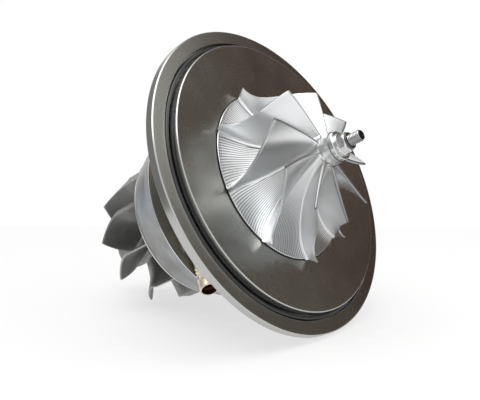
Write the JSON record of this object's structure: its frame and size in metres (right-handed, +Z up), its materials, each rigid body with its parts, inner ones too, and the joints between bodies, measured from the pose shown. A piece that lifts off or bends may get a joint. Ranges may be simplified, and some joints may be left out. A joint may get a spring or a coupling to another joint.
{
  "type": "turbo cartridge",
  "caption": "Turbocharger centre cartridge: a large backplate and bearing housing carrying a bladed compressor wheel and turbine wheel on one spinning shaft.",
  "frame": {"origin": "on the shaft's axis, in the plane of the backplate's joint face, at the foot of the register that the compressor cover fits over", "axes": "lying on a bench as pictured: +Z up, +Y across along the plate's full width, the shaft in the XZ plane pointing to +X and 25 degrees upwards at the compressor end"},
  "size_m": [0.2008, 0.2012, 0.1845],
  "materials": {
    "plate": "satin",
    "housing": "satin",
    "shield": "satin",
    "rubber": "matte",
    "wheel_aluminium": "satin",
    "turbine_alloy": "cast",
    "shaft_steel": "ground",
    "nut_steel": "bright",
    "screw_steel": "black oxide",
    "brass": "satin",
    "bronze": "satin",
    "ring_steel": "satin"
  },
  "bodies": {
    "housing": {"backplate": "plate", "register_o_ring": "rubber", "backplate_bolts": "screw_steel", "backplate_seal_ring": "rubber", "bearing_housing": "housing", "heat_shield": "shield", "coolant_inlet_fitting": "brass", "coolant_outlet_fitting": "brass", "thrust_bearing": "bronze", "thrust_bearing_pins": "ring_steel", "oil_deflector": "shield", "compressor_seal_ring": "ring_steel", "turbine_seal_ring": "ring_steel", "bearing_snap_rings": "ring_steel"},
    "compressor_bush": {"compressor_side_bearing": "bronze"},
    "turbine_bush": {"turbine_side_bearing": "bronze"},
    "rotor": {"shaft": "shaft_steel", "turbine_wheel": "turbine_alloy", "thrust_collar": "shaft_steel", "oil_flinger": "shaft_steel", "compressor_wheel": "wheel_aluminium", "nut_washer": "nut_steel", "compressor_nut": "nut_steel"}
  },
  "joints": [
    {"name": "rotor_spin", "type": "hinge", "parent": "housing", "child": "rotor", "pos_m": [0, 0, 0], "axis": [0.9052, 0, 0.4249], "continuous": true},
    {"name": "compressor_bush_spin", "type": "hinge", "parent": "housing", "child": "compressor_bush", "pos_m": [0, 0, 0], "axis": [0.9052, 0, 0.4249], "continuous": true},
    {"name": "turbine_bush_spin", "type": "hinge", "parent": "housing", "child": "turbine_bush", "pos_m": [0, 0, 0], "axis": [0.9052, 0, 0.4249], "continuous": true}
  ]
}
